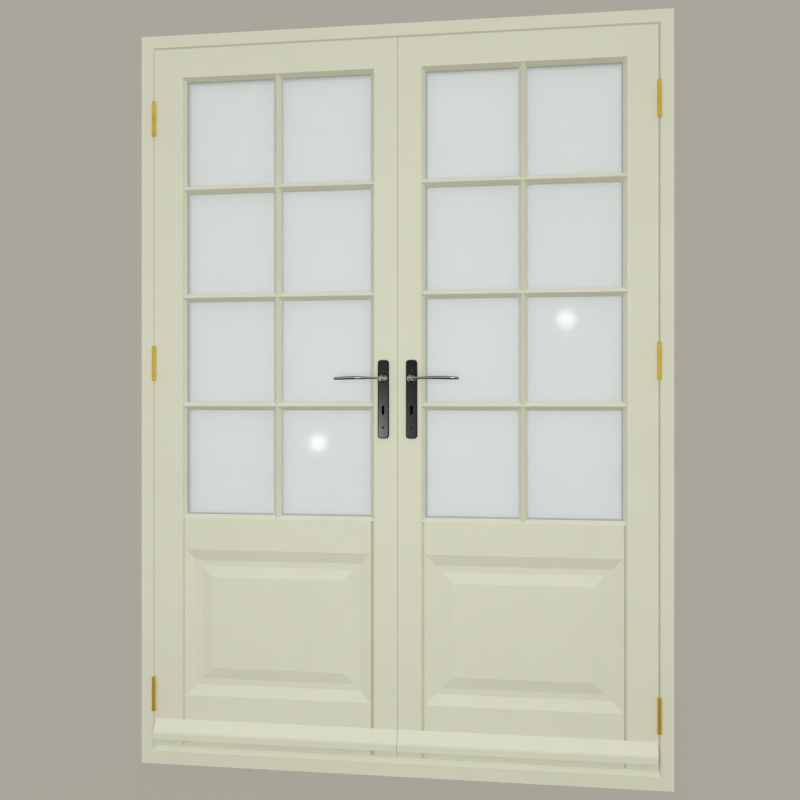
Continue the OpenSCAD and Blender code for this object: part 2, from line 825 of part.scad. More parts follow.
module left_weatherboard() weatherboard();
module right_weatherboard() right_hand() weatherboard();

// GLAZING

// One sealed unit of two sheets fills the leaf, and bars are bonded on both faces over dummy spacers
module glass_sheet(y) {
    color(pale_glass)
        block(glass_x0 + glass_clear, glass_x1 - glass_clear, y, y + sheet_t,
              glass_z0 + glass_clear, glass_z1 - glass_clear);
}

module outer_glass() glass_sheet(glass_y0);
module inner_glass() glass_sheet(glass_y1 - sheet_t);

// The bars divide what shows of the glass evenly
function bar_x(i) = glass_x0 + mould_w + i * bar_pitch_x;
function bar_z(i) = glass_z0 + mould_w + i * bar_pitch_z;

module glass_spacer() {
    y0 = glass_y0 + sheet_t;
    y1 = y0 + cavity;
    shown = mould_w + spacer_show;
    edge = shown - spacer_w;
    color(alloy) {
        difference() {
            block(glass_x0 + edge, glass_x1 - edge, y0, y1, glass_z0 + edge, glass_z1 - edge);
            block(glass_x0 + shown, glass_x1 - shown, y0 - past, y1 + past,
                  glass_z0 + shown, glass_z1 - shown);
        }
        for (i = [1:1:pane_columns - 1])
            block(bar_x(i) - grid_w / 2, bar_x(i) + grid_w / 2, y0, y1, glass_z0 + edge, glass_z1 - edge);
        for (i = [1:1:pane_rows - 1])
            block(glass_x0 + edge, glass_x1 - edge, y0, y1, bar_z(i) - grid_w / 2, bar_z(i) + grid_w / 2);
    }
}

// Section of a glazing bar, across its width and out from the glass
module bar_section(out, grow = 0) {
    half = bar_w / 2 + grow;
    ridge = ridge_w / 2 + grow;
    polygon([[-half, -past], [half, -past], [half, bar_base], [ridge, out + grow],
             [-ridge, out + grow], [-half, bar_base]]);
}

// The bars of one face, drawn on the outside of the glass.
// They fill the moulded opening, whose arris is set in by arris from the edge of the timber,
// and the cross bars are scribed to the uprights.
module bars(out, arris, slope_w, slope_d) {
    top_y = glass_y0 - out - ridge_set;
    edge = arris + mitre_gap;
    intersection() {
        union() {
            upright_bars(out);
            difference() {
                for (i = [1:1:pane_rows - 1])
                    translate([0, glass_y0, bar_z(i)])
                        across(glass_x0, glass_x1)
                            rotate(90)
                                bar_section(out);
                upright_bars(out, mitre_gap);
            }
        }
        hopper(glass_x0 + edge, glass_x1 - edge, glass_z0 + edge, glass_z1 - edge,
               [[top_y, 0], [top_y + slope_d, slope_w], [glass_y0, slope_w]]);
    }
}

module upright_bars(out, grow = 0) {
    for (i = [1:1:pane_columns - 1])
        translate([bar_x(i), glass_y0, 0])
            upright(glass_z0, glass_z1)
                mirror([0, 1])
                    bar_section(out, grow);
}

module outer_bars() color(paint) bars(glass_set - ridge_set, 0, mould_w, mould_d);

// The glazing beads on the inside are as deep as the room between the glass and the inside face
bead_d = leaf_back - glass_y1;
bead_slope_d = min(bead_d - bar_base, mould_d);

module inner_bars() {
    color(paint)
        translate([0, glass_y0 + glass_y1, 0])
            mirror([0, 1, 0])
                bars(bead_d - ridge_set, bead_flat, mould_w - bead_flat, bead_slope_d);
}

module glazing_beads() {
    color(paint)
        for (side = [0:3])
            mitred(glass_x0, glass_x1, glass_z0, glass_z1, side, mould_w, glass_y1, leaf_back)
                polygon([[glass_y1, 0], [leaf_back, 0], [leaf_back, bead_flat],
                         [leaf_back - bead_slope_d, mould_w], [glass_y1, mould_w]]);
}

module left_outer_glass() outer_glass();
module right_outer_glass() right_hand() outer_glass();
module left_inner_glass() inner_glass();
module right_inner_glass() right_hand() inner_glass();
module left_glass_spacer() glass_spacer();
module right_glass_spacer() right_hand() glass_spacer();
module left_outer_bars() outer_bars();
module right_outer_bars() right_hand() outer_bars();
module left_inner_bars() inner_bars();
module right_inner_bars() right_hand() inner_bars();
module left_glazing_beads() glazing_beads();
module right_glazing_beads() right_hand() glazing_beads();

// HANDLES

// Handle pieces are drawn with Z out from the leaf and Y up, and set on either face
module on_outside(z) translate([handle_x, face_y, z]) rotate([90, 0, 0]) children();
module on_inside(z) mirror_faces() on_outside(z) children();

screw_cone_h = screw_head_r - screw_r;

// A screw with its countersunk head flush with the backplate. The same shape cuts its hole.
module plate_screw() {
    translate([0, 0, plate_t - screw_l])
        cylinder(r = screw_r, h = screw_l - screw_cone_h);
    translate([0, 0, plate_t - screw_cone_h])
        cylinder(r1 = screw_r, r2 = screw_head_r, h = screw_cone_h);
}

// Edge of the backplate with its rounded rim, out to r
function plate_edge(r) = concat([[r, 0]], arc(r - plate_rim, plate_t - plate_rim, plate_rim, 0, 90, 6));

module backplate() {
    across_half = plate_w / 2 - plate_corner;
    along_half = plate_l / 2 - plate_corner;
    corner = plate_edge(plate_corner);
    side = plate_edge(plate_w / 2);
    whole = concat(side, [for (i = [len(side) - 1:-1:0]) [-side[i][0], side[i][1]]]);
    color(black)
        difference() {
            union() {
                translate([0, along_half, 0])
                    rotate([90, 0, 0])
                        linear_extrude(2 * along_half)
                            polygon(whole);
                for (end = [0, 180])
                    rotate(end)
                        translate([0, along_half, 0]) {
                            translate([-across_half, 0, 0])
                                rotate([90, 0, 90])
                                    linear_extrude(2 * across_half)
                                        polygon(concat([[-past, 0]], corner, [[-past, plate_t]]));
                            for (s = [-1, 1])
                                translate([s * across_half, 0, 0])
                                    rotate(45 - 45 * s)
                                        rotate_extrude(angle = 90)
                                            polygon(concat([[0, 0]], corner, [[0, plate_t]]));
                        }
            }
            translate([0, lever_up, -past])
                cylinder(r = neck_r + run_clear, h = plate_t + 2 * past);
            translate([-key_w / 2, -key_down - key_h / 2, -past])
                cube([key_w, key_h, plate_t + 2 * past]);
            for (s = [-1, 1])
                translate([0, s * screw_span / 2, 0])
                    plate_screw();
        }
}

module outer_backplate() on_outside(plate_z) backplate();
module inner_backplate() on_inside(plate_z) backplate();

module all_plate_screws() {
    for (s = [-1, 1]) {
        on_outside(plate_z + s * screw_span / 2) plate_screw();
        on_inside(plate_z + s * screw_span / 2) plate_screw();
    }
}

module plate_screws() color(steel) all_plate_screws();

// The arm of the lever is lofted through rings along its length. Each ring is an ellipse that
// swells from the root to the middle, and the path arches up, droops and turns back at the tip.
arm_rings = 22;
arm_sides = 20;
// The root starts a little past the axis, inside the neck
arm_root_x = 3;
// Half the height of the arm at its root, and what it gains at its middle and its tip
arm_root_h = 2.5;
arm_swell_h = 1.7;
arm_tip_h = 2;
// Half the depth of the arm at its root, and what it loses by its tip
arm_root_d = 5.2;
arm_thin_d = 1.6;
// The last part of the length is rounded off to a small flat
tip_from = 0.95;
tip_round = 0.0502;
// The rings stand closer together toward the tip
ring_crowding = 1.6;
function arm_t(i) = 1 - pow(1 - i / arm_rings, ring_crowding);
function arm_x(t) = arm_root_x - (lever_l + arm_root_x) * t;
function arm_rise(t) = lever_arch * sin(180 * t) - lever_droop * t * t;
function arm_stand(t) = lever_out - lever_return * pow(t, 3);
function arm_round(t) = t < tip_from ? 1 : sqrt(1 - pow((t - tip_from) / tip_round, 2));
function arm_half_h(t) = (arm_root_h + arm_swell_h * sin(180 * t) + arm_tip_h * t) * arm_round(t);
function arm_half_d(t) = (arm_root_d - arm_thin_d * t) * arm_round(t);
function arm_ring(t) = [for (k = [0:arm_sides - 1])
    let (a = 360 * k / arm_sides)
    [arm_x(t), arm_rise(t) + arm_half_h(t) * cos(a), arm_stand(t) + arm_half_d(t) * sin(a)]];

module lever_arm() {
    points = [for (i = [0:arm_rings]) each arm_ring(arm_t(i))];
    last = arm_rings * arm_sides;
    sides = [for (i = [0:arm_rings - 1], k = [0:arm_sides - 1])
        let (a = i * arm_sides + k, b = i * arm_sides + (k + 1) % arm_sides)
        each [[a, b, a + arm_sides], [b, b + arm_sides, a + arm_sides]]];
    root = [[for (k = [0:arm_sides - 1]) arm_sides - 1 - k]];
    tip = [[for (k = [0:arm_sides - 1]) last + k]];
    polyhedron(points, concat(sides, root, tip));
}

// Depth of the square socket in the neck, from the face of the leaf
neck_end = 12;
socket_d = lever_out - neck_end;
// The neck runs out past the middle of the arm and is rounded there
neck_over = 6.5;
neck_top = lever_out + neck_over;
neck_round = 5;

module lever() {
    low = plate_t + flange_clear;
    high = low + flange_t;
    flange = [[neck_r, low], [flange_r, low], [flange_r, high - flange_edge],
              [flange_r - flange_edge, high], [neck_r, high]];
    color(chrome)
        difference() {
            union() {
                rotate_extrude()
                    polygon(concat([[0, past], [neck_r, past]], flange,
                                   arc(neck_r - neck_round, neck_top - neck_round, neck_round, 0, 90, 6),
                                   [[0, neck_top]]));
                lever_arm();
            }
            translate([-spindle_w / 2, -spindle_w / 2, 0])
                cube([spindle_w, spindle_w, socket_d]);
        }
}

module outer_lever() on_outside(lever_z) lever();
module inner_lever() on_inside(lever_z) lever();

// The square spindle runs from lever to lever through the round follower of the lock
module spindle() {
    color(steel)
        translate([handle_x, 0, lever_z]) {
            block(-spindle_w / 2, spindle_w / 2, face_y - socket_d, leaf_back + socket_d,
                  -spindle_w / 2, spindle_w / 2);
            translate([0, leaf_mid, 0])
                rotate([90, 0, 0])
                    cylinder(r = follower_r, h = case_t - 2 * slide_clear, center = true);
        }
}

module left_outer_backplate() outer_backplate();
module right_outer_backplate() right_hand() outer_backplate();
module left_inner_backplate() inner_backplate();
module right_inner_backplate() right_hand() inner_backplate();
module left_plate_screws() plate_screws();
module right_plate_screws() right_hand() plate_screws();
module left_outer_lever() outer_lever();
module right_outer_lever() right_hand() outer_lever();
module left_inner_lever() inner_lever();
module right_inner_lever() right_hand() inner_lever();
module left_spindle() spindle();
module right_spindle() right_hand() spindle();

// LOCK AND BOLTS

module follower_bore() {
    translate([handle_x, leaf_mid, lever_z])
        rotate([90, 0, 0])
            cylinder(r = follower_r + run_clear, h = case_t + 2 * past, center = true);
}

// The key goes in from either face as far as the curtain
module key_slots() {
    for (y = [leaf_mid - case_t, leaf_mid + curtain_t / 2])
        block(handle_x - key_w / 2, handle_x + key_w / 2, y, y + case_t - curtain_t / 2,
              key_z - key_h / 2, key_z + key_h / 2);
}

module forend_plate() {
    block(forend_x0, forend_x1, leaf_mid - forend_w / 2, leaf_mid + forend_w / 2,
          forend_z - forend_h / 2, forend_z + forend_h / 2);
}

// Way for a sliding bolt of the given section, from x0 to past the forend
module bolt_way(x0, t, h, z, clear) {
    block(x0, forend_x1 + past, leaf_mid - t / 2 - clear, leaf_mid + t / 2 + clear,
          z - h / 2 - clear, z + h / 2 + clear);
}

// Mortice lock of the right leaf, its case and forend riveted together
module right_lock_case() {
    color(steel)
        right_hand()
            difference() {
                union() {
                    block(case_x0, forend_x1, leaf_mid - case_t / 2, leaf_mid + case_t / 2,
                          case_z0, case_z1);
                    forend_plate();
                }
                follower_bore();
                key_slots();
                bolt_way(latch_x0 - slide_clear, latch_t, latch_h, lever_z, slide_clear);
                bolt_way(bolt_x1 - bolt_l - slide_clear, bolt_t, bolt_h, key_z, slide_clear);
            }
}

// The latch's sloping side meets the keep as the leaf closes, so it faces the inside
module latch_bolt() {
    nose = latch_throw - latch_square;
    y0 = leaf_mid - latch_t / 2;
    color(brass)
        right_hand()
            upright(lever_z - latch_h / 2, lever_z + latch_h / 2)
                polygon([[latch_x0, y0], [bolt_x1, y0], [bolt_x1, y0 + latch_t / 4],
                         [bolt_x1 - nose, y0 + latch_t], [latch_x0, y0 + latch_t]]);
}

module dead_bolt() {
    color(brass)
        right_hand()
            block(bolt_x1 - bolt_l, bolt_x1, leaf_mid - bolt_t / 2, leaf_mid + bolt_t / 2,
                  key_z - bolt_h / 2, key_z + bolt_h / 2);
}

// Keep of the lock in the edge of the left leaf
module left_lock_keep() {
    color(steel)
        difference() {
            forend_plate();
            bolt_way(forend_x0 - past, latch_t, latch_h, lever_z, keep_clear);
            bolt_way(forend_x0 - past, bolt_t, bolt_h, key_z, keep_clear);
        }
}

// Case of the shoot bolt gear, behind the keep
module left_gear_case() {
    color(steel)
        difference() {
            block(case_x0, gear_x1, leaf_mid - case_t / 2, leaf_mid + case_t / 2, case_z0, case_z1);
            follower_bore();
            key_slots();
            translate([top_shoot_x, leaf_mid, lever_z])
                cylinder(r = shoot_r + slide_clear, h = case_end + past);
            translate([low_shoot_x, leaf_mid, case_z0 - past])
                cylinder(r = shoot_r + slide_clear, h = lever_z - case_z0 + past);
        }
}

// The shoot bolts end clear of the follower, drawn back into the leaf
module top_shoot_bolt() {
    z0 = lever_z + follower_r + follower_gap;
    color(steel)
        translate([top_shoot_x, leaf_mid, z0])
            cylinder(r = shoot_r, h = leaf_z1 - shoot_back - z0);
}

module bottom_shoot_bolt() {
    z0 = leaf_z0 + shoot_back;
    color(steel)
        translate([low_shoot_x, leaf_mid, z0])
            cylinder(r = shoot_r, h = lever_z - follower_r - follower_gap - z0);
}

left_jamb();
right_jamb();
head();
sill();
frame_seals();
bolt_keeps();
left_hinge_frame_flaps();
right_hinge_frame_flaps();
hinge_pins();
left_hinge_stile();
left_meeting_stile();
left_top_rail();
left_lock_rail();
left_bottom_rail();
left_panel();
left_panel_mouldings();
left_weatherboard();
left_meeting_seal();
left_outer_glass();
left_inner_glass();
left_glass_spacer();
left_outer_bars();
left_inner_bars();
left_glazing_beads();
left_hinge_leaf_flaps();
left_outer_backplate();
left_inner_backplate();
left_plate_screws();
left_gear_case();
left_lock_keep();
left_outer_lever();
left_inner_lever();
left_spindle();
top_shoot_bolt();
bottom_shoot_bolt();
right_hinge_stile();
right_meeting_stile();
right_top_rail();
right_lock_rail();
right_bottom_rail();
right_panel();
right_panel_mouldings();
right_weatherboard();
right_meeting_seal();
right_outer_glass();
right_inner_glass();
right_glass_spacer();
right_outer_bars();
right_inner_bars();
right_glazing_beads();
right_hinge_leaf_flaps();
right_outer_backplate();
right_inner_backplate();
right_plate_screws();
right_lock_case();
right_outer_lever();
right_inner_lever();
right_spindle();
latch_bolt();
dead_bolt();
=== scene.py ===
import bpy
import bmesh
import math
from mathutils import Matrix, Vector


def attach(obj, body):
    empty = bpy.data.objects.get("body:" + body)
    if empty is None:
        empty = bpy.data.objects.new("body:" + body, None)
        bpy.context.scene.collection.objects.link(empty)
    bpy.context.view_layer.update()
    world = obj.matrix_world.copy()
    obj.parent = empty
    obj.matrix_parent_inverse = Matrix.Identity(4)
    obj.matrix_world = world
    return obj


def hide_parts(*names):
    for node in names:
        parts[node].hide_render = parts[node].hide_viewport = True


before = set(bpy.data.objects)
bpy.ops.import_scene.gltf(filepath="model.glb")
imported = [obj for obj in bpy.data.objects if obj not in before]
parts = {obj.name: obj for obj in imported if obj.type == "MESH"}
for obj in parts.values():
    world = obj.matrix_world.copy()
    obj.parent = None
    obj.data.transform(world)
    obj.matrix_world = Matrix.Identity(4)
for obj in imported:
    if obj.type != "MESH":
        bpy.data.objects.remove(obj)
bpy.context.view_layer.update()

# FRAME TIMBERS
# The jambs, head and sill are planed softwood, tenoned together and painted a satin cream by brush.
# The paint lies in faint strokes along each length.

cream = (0.624, 0.631, 0.497)
paint_paler = 1.010
paint_deeper = 0.990
paint_clouds = (5, 5, 5)
upright_strokes = (420, 420, 9)
level_strokes = (9, 420, 420)


def new_finish(name):
    finish = bpy.data.materials.new(name)
    finish.use_nodes = True
    nodes = finish.node_tree.nodes
    return finish, nodes, finish.node_tree.links, nodes["Principled BSDF"]


def shade(colour, by):
    """The colour made paler or deeper all over."""
    return tuple(c * by for c in colour)


def tone(nodes, links, source, low, high):
    """A ramp from one colour to the other over the middle of what the source gives."""
    ramp = nodes.new("ShaderNodeValToRGB")
    ramp_start, ramp_end = ramp.color_ramp.elements
    ramp_start.position = 0.35
    ramp_end.position = 0.65
    ramp_start.color = (*low, 1)
    ramp_end.color = (*high, 1)
    links.new(source, ramp.inputs["Fac"])
    return ramp.outputs["Color"]


def spread(nodes, links, source, low, high):
    """What the source gives from 0 to 1, brought to the range from low to high."""
    ranged = nodes.new("ShaderNodeMapRange")
    ranged.inputs["To Min"].default_value = low
    ranged.inputs["To Max"].default_value = high
    links.new(source, ranged.inputs["Value"])
    return ranged.outputs["Result"]


def noise(nodes, links, waves, detail, roughness=0.5):
    """Noise in the object's own place, with so many waves to the metre along each axis."""
    place = nodes.new("ShaderNodeTexCoord")
    mapping = nodes.new("ShaderNodeMapping")
    mapping.inputs["Scale"].default_value = waves
    links.new(place.outputs["Object"], mapping.inputs["Vector"])
    grain = nodes.new("ShaderNodeTexNoise")
    grain.inputs["Scale"].default_value = 1.0
    grain.inputs["Detail"].default_value = detail
    grain.inputs["Roughness"].default_value = roughness
    links.new(mapping.outputs["Vector"], grain.inputs["Vector"])
    return grain.outputs["Fac"]


def raise_surface(nodes, links, shader, source, strength, depth):
    bump = nodes.new("ShaderNodeBump")
    bump.inputs["Strength"].default_value = strength
    bump.inputs["Distance"].default_value = depth
    links.new(source, bump.inputs["Height"])
    links.new(bump.outputs["Normal"], shader.inputs["Normal"])


def brushed_paint(name, strokes):
    finish, nodes, links, shader = new_finish(name)
    cloud = noise(nodes, links, paint_clouds, detail=2)
    paint = tone(nodes, links, cloud, low=shade(cream, paint_deeper), high=shade(cream, paint_paler))
    links.new(paint, shader.inputs["Base Color"])
    stroke = noise(nodes, links, strokes, detail=5, roughness=0.6)
    links.new(spread(nodes, links, stroke, low=0.40, high=0.50), shader.inputs["Roughness"])
    raise_surface(nodes, links, shader, stroke, strength=0.12, depth=0.0004)
    shader.inputs["Specular IOR Level"].default_value = 0.4
    return finish


def finish_nodes(finish, names):
    for name in names:
        parts[name].data.materials.clear()
        parts[name].data.materials.append(finish)


painted_upright = brushed_paint("cream_paint_upright", upright_strokes)
painted_level = brushed_paint("cream_paint_level", level_strokes)
finish_nodes(painted_upright, ["left_jamb", "right_jamb"])
finish_nodes(painted_level, ["head", "sill"])

# LEAF TIMBERS
# Each leaf is five tenoned timbers, with a chamfer worked round the glass and on down the stiles.
# Stiles are brushed up and down, rails from side to side. The keyhole is bored through each meeting
# stile, and its walls are coloured near black as painted shade in the hole.

sides = ("left", "right")
handle_x = 0.0395
keyhole_half_w = 0.0045
keyhole_y, keyhole_half_d = -0.019, 0.0275
keyhole_z, keyhole_half_h = 1.017, 0.013
# Near-black painted shade for the walls of the keyhole, where the hole lies in shadow
keyhole_painted_shade = (0.012, 0.010, 0.008)


def reckon(nodes, links, operation, *values):
    """One step of arithmetic on plain numbers and on what other nodes give."""
    step = nodes.new("ShaderNodeMath")
    step.operation = operation
    for socket, value in zip(step.inputs, values):
        if isinstance(value, float):
            socket.default_value = value
        else:
            links.new(value, socket)
    return step.outputs[0]


def bored_paint():
    """The paint of a stile, with near-black painted shade on the walls where the keyhole goes through."""
    finish = brushed_paint("cream_paint_bored", upright_strokes)
    nodes, links = finish.node_tree.nodes, finish.node_tree.links
    place = nodes.new("ShaderNodeTexCoord")
    apart = nodes.new("ShaderNodeSeparateXYZ")
    links.new(place.outputs["Object"], apart.inputs["Vector"])
    either_side = reckon(nodes, links, "ABSOLUTE", apart.outputs["X"])
    within_w = reckon(nodes, links, "COMPARE", either_side, handle_x, keyhole_half_w)
    within_d = reckon(nodes, links, "COMPARE", apart.outputs["Y"], keyhole_y, keyhole_half_d)
    within_h = reckon(nodes, links, "COMPARE", apart.outputs["Z"], keyhole_z, keyhole_half_h)
    inside = reckon(nodes, links, "MULTIPLY", reckon(nodes, links, "MULTIPLY", within_w, within_d), within_h)
    base = nodes["Principled BSDF"].inputs["Base Color"]
    # Inside the keyhole the cream paint gives way to the near-black painted shade
    wall = nodes.new("ShaderNodeMix")
    wall.data_type = "RGBA"
    links.new(inside, wall.inputs["Factor"])
    links.new(base.links[0].from_socket, wall.inputs["A"])
    wall.inputs["B"].default_value = (*keyhole_painted_shade, 1)
    links.new(wall.outputs["Result"], base)
    return finish


finish_nodes(painted_upright, [f"{s}_hinge_stile" for s in sides])
finish_nodes(bored_paint(), [f"{s}_meeting_stile" for s in sides])
finish_nodes(painted_level, [f"{s}_{n}" for s in sides for n in ("top_rail", "lock_rail", "bottom_rail")])

# LOWER PANELS
# The panels are solid timber, raised and fielded on both faces.
# Planted mouldings, mitred at the corners, hold each panel in its opening.

finish_nodes(painted_upright, [f"{s}_panel" for s in sides])
finish_nodes(painted_level, [f"{s}_panel_mouldings" for s in sides])

# WEATHERBOARDS
# A rounded board is planted across the foot of each leaf to throw rain clear of the sill.
# It is hardwood with the same paint, with a drip groove run under its nose.

finish_nodes(painted_level, [f"{s}_weatherboard" for s in sides])

# SEALED GLASS UNITS
# Each leaf holds one unit of two pale sheets, set on tape in the rebate behind the moulding.
# The outer sheet is clear and the inner one satin, so that the spacer between them shows faintly.

clear_tint = (0.772, 0.807, 0.804)
satin_tint = (0.784, 0.819, 0.816)
glass_waves = (7, 7, 3)
wave_deeper = 0.99


def pale_glass(name, tint, smooth, rough, cover):
    finish, nodes, links, shader = new_finish(name)
    wave = noise(nodes, links, glass_waves, detail=1)
    links.new(tone(nodes, links, wave, low=shade(tint, wave_deeper), high=tint), shader.inputs["Base Color"])
    links.new(spread(nodes, links, wave, low=smooth, high=rough), shader.inputs["Roughness"])
    shader.inputs["Alpha"].default_value = cover
    shader.inputs["IOR"].default_value = 1.5
    return finish


finish_nodes(pale_glass("clear_float_glass", clear_tint, smooth=0.060, rough=0.066, cover=0.45),
             [f"{s}_outer_glass" for s in sides])
finish_nodes(pale_glass("satin_glass", satin_tint, smooth=0.35, rough=0.40, cover=1.0),
             [f"{s}_inner_glass" for s in sides])

# GLASS SPACERS
# A folded aluminium box section parts the two sheets at their edge and behind each bar.
# It is anodised dark grey, with fine lines along the rolling.

anodised_grey = (0.26, 0.265, 0.28)
spacer_lines = (60, 900, 60)
line_deeper = 0.9


def rolled_metal(name, colour, lines, smooth, rough):
    finish, nodes, links, shader = new_finish(name)
    line = noise(nodes, links, lines, detail=4)
    lined = tone(nodes, links, line, low=shade(colour, line_deeper), high=colour)
    links.new(lined, shader.inputs["Base Color"])
    links.new(spread(nodes, links, line, low=smooth, high=rough), shader.inputs["Roughness"])
    raise_surface(nodes, links, shader, line, strength=0.05, depth=0.0001)
    shader.inputs["Metallic"].default_value = 1.0
    return finish


finish_nodes(rolled_metal("grey_anodised_aluminium", anodised_grey, spacer_lines, smooth=0.35, rough=0.5),
             [f"{s}_glass_spacer" for s in sides])

# GLAZING BARS AND BEADS
# Ridged timber bars are bonded to both faces of the unit and scribed to the moulding and to each other.
# Mitred beads pinned on the inside hold the unit in its rebate.

finish_nodes(painted_level, [f"{s}_{n}" for s in sides for n in ("outer_bars", "inner_bars")])
finish_nodes(painted_upright, [f"{s}_glazing_beads" for s in sides])

# SEALS
# A bulb of black rubber is pushed into a groove round the stop of the frame.
# A brushed pile strip closes the gap between the meeting stiles.

rubber_deep, rubber_pale = (0.030, 0.030, 0.028), (0.045, 0.045, 0.043)
rubber_grain = (300, 300, 300)
pile_deep, pile_pale = (0.56, 0.55, 0.43), (0.66, 0.65, 0.52)
pile_fibres = (1500, 1500, 300)


def soft_seal(name, deep, pale, fibres, rough):
    finish, nodes, links, shader = new_finish(name)
    fibre = noise(nodes, links, fibres, detail=3)
    links.new(tone(nodes, links, fibre, low=deep, high=pale), shader.inputs["Base Color"])
    raise_surface(nodes, links, shader, fibre, strength=0.3, depth=0.0003)
    shader.inputs["Roughness"].default_value = rough
    return finish


finish_nodes(soft_seal("black_rubber", rubber_deep, rubber_pale, rubber_grain, rough=0.7), ["frame_seals"])
finish_nodes(soft_seal("ivory_pile", pile_deep, pile_pale, pile_fibres, rough=0.9),
             [f"{s}_meeting_seal" for s in sides])

# HINGES
# Each leaf hangs on three butt hinges of solid brass, their flaps let into the edges of the timber.
# The knuckles are polished and turn on a brass pin with a rounded cap at each end.

brass_deep, brass_pale = (0.85, 0.60, 0.085), (0.97, 0.70, 0.12)
brass_tarnish = (40, 40, 40)


def polished_brass():
    finish, nodes, links, shader = new_finish("polished_brass")
    tarnish = noise(nodes, links, brass_tarnish, detail=4)
    links.new(tone(nodes, links, tarnish, low=brass_deep, high=brass_pale), shader.inputs["Base Color"])
    links.new(spread(nodes, links, tarnish, low=0.22, high=0.30), shader.inputs["Roughness"])
    shader.inputs["Metallic"].default_value = 0.66
    return finish


brass = polished_brass()
finish_nodes(brass, [f"{s}_hinge_{n}_flaps" for s in sides for n in ("frame", "leaf")])
finish_nodes(brass, ["hinge_pins"])

# BACKPLATES
# A long round-cornered plate of steel is pressed with a soft rim and coated black.
# It is screwed to the meeting stile on each face, over the spindle and the keyhole.

coat_deep, coat_pale = (0.005, 0.0045, 0.004), (0.008, 0.0075, 0.007)
coat_peel = (700, 700, 700)


def black_coat():
    finish, nodes, links, shader = new_finish("black_coat")
    peel = noise(nodes, links, coat_peel, detail=2)
    links.new(tone(nodes, links, peel, low=coat_deep, high=coat_pale), shader.inputs["Base Color"])
    links.new(spread(nodes, links, peel, low=0.18, high=0.21), shader.inputs["Roughness"])
    raise_surface(nodes, links, shader, peel, strength=0.04, depth=0.0001)
    shader.inputs["Specular IOR Level"].default_value = 0.16
    return finish


finish_nodes(black_coat(), [f"{s}_{n}" for s in sides for n in ("outer_backplate", "inner_backplate")])

# PLATE SCREWS
# Two countersunk steel screws hold each plate, one near either end.
# Their heads are blackened, worn paler than the plate, and sit flush in it.

worn_black = (0.14, 0.138, 0.135)
screw_wear = (900, 900, 900)
finish_nodes(rolled_metal("worn_screw", worn_black, screw_wear, smooth=0.3, rough=0.5),
             [f"{s}_plate_screws" for s in sides])

# LEVERS
# Each lever is cast in zinc, polished and chrome plated, and its neck turns in the collar of the plate.
# The arm swells from the neck, arches, and turns back a little toward the leaf at its tip.

chrome_deep, chrome_pale = (0.80, 0.81, 0.82), (0.86, 0.87, 0.88)
chrome_wipes = (120, 120, 120)
lever_z = 1.104
outer_face = -0.047
inner_face = 0.009
lever_out = 0.044

# The neck is turned: a stem with a flange near the plate and a rounded end over the arm
neck_r = 0.0075
neck_foot = 0.001
neck_over = 0.0065
neck_round = 0.005
flange_r = 0.01175
flange_low = 0.0083
flange_t = 0.004
flange_ease = 0.001
neck_around = 40
# The stem has a few rings close together behind the arm, and the round stops short of the middle
stem_back = 0.012
stem_step = 0.0015
stem_rings = 5
round_rings = 9
round_steps = 8.5

# The arm is an oval loft, its half height and half depth changing from the neck to the tip
arm_root = 0.003
arm_reach = 0.135
arm_arch = 0.002
arm_turn_back = 0.006
arm_half_h = 0.0025
arm_swell = 0.0017
arm_widen = 0.002
arm_half_d = 0.0052
arm_thin = 0.0016
tip_start = 0.95
tip_length = 0.0502
arm_steps = 56
arm_around = 28
# Rings stand closer together toward the tip
arm_crowding = 1.6


def chrome_plate():
    finish, nodes, links, shader = new_finish("chrome_plate")
    wipe = noise(nodes, links, chrome_wipes, detail=3)
    links.new(tone(nodes, links, wipe, low=chrome_deep, high=chrome_pale), shader.inputs["Base Color"])
    links.new(spread(nodes, links, wipe, low=0.03, high=0.06), shader.inputs["Roughness"])
    shader.inputs["Metallic"].default_value = 1.0
    return finish


chrome = chrome_plate()


def neck_profile():
    """Radius and distance from the plate, from the foot of the neck to its end."""
    profile = [(neck_r, neck_foot), (neck_r, flange_low), (flange_r, flange_low),
               (flange_r, flange_low + flange_t - flange_ease),
               (flange_r - flange_ease, flange_low + flange_t), (neck_r, flange_low + flange_t)]
    profile += [(neck_r, lever_out - stem_back + stem_step * i) for i in range(stem_rings)]
    end = lever_out + neck_over - neck_round
    for i in range(round_rings):
        turn = math.radians(90 * i / round_steps)
        profile.append((neck_r - neck_round + neck_round * math.cos(turn), end + neck_round * math.sin(turn)))
    return profile


def arm_sections():
    """Along, up, away, half height and half depth of each ring of the arm."""
    sections = []
    for i in range(arm_steps + 1):
        t = 1 - (1 - i / arm_steps) ** arm_crowding
        tip = max(0.0, t - tip_start) / tip_length
        rounding = math.sqrt(max(0.0, 1 - tip ** 2))
        sections.append((-arm_root + (arm_reach + arm_root) * t,
                         arm_arch * math.sin(math.pi * t),
                         lever_out - arm_turn_back * t ** 3,
                         (arm_half_h + arm_swell * math.sin(math.pi * t) + arm_widen * t) * rounding,
                         (arm_half_d - arm_thin * t) * rounding))
    return sections


def circle(count):
    return [(math.cos(2 * math.pi * k / count), math.sin(2 * math.pi * k / count)) for k in range(count)]


def skin(mesh, rings):
    """Faces from ring to ring, with both ends closed."""
    rings = [[mesh.verts.new(point) for point in ring] for ring in rings]
    for low, high in zip(rings, rings[1:]):
        for i in range(len(low)):
            j = (i + 1) % len(low)
            mesh.faces.new((low[i], low[j], high[j], high[i]))
    mesh.faces.new(list(reversed(rings[0])))
    mesh.faces.new(rings[-1])


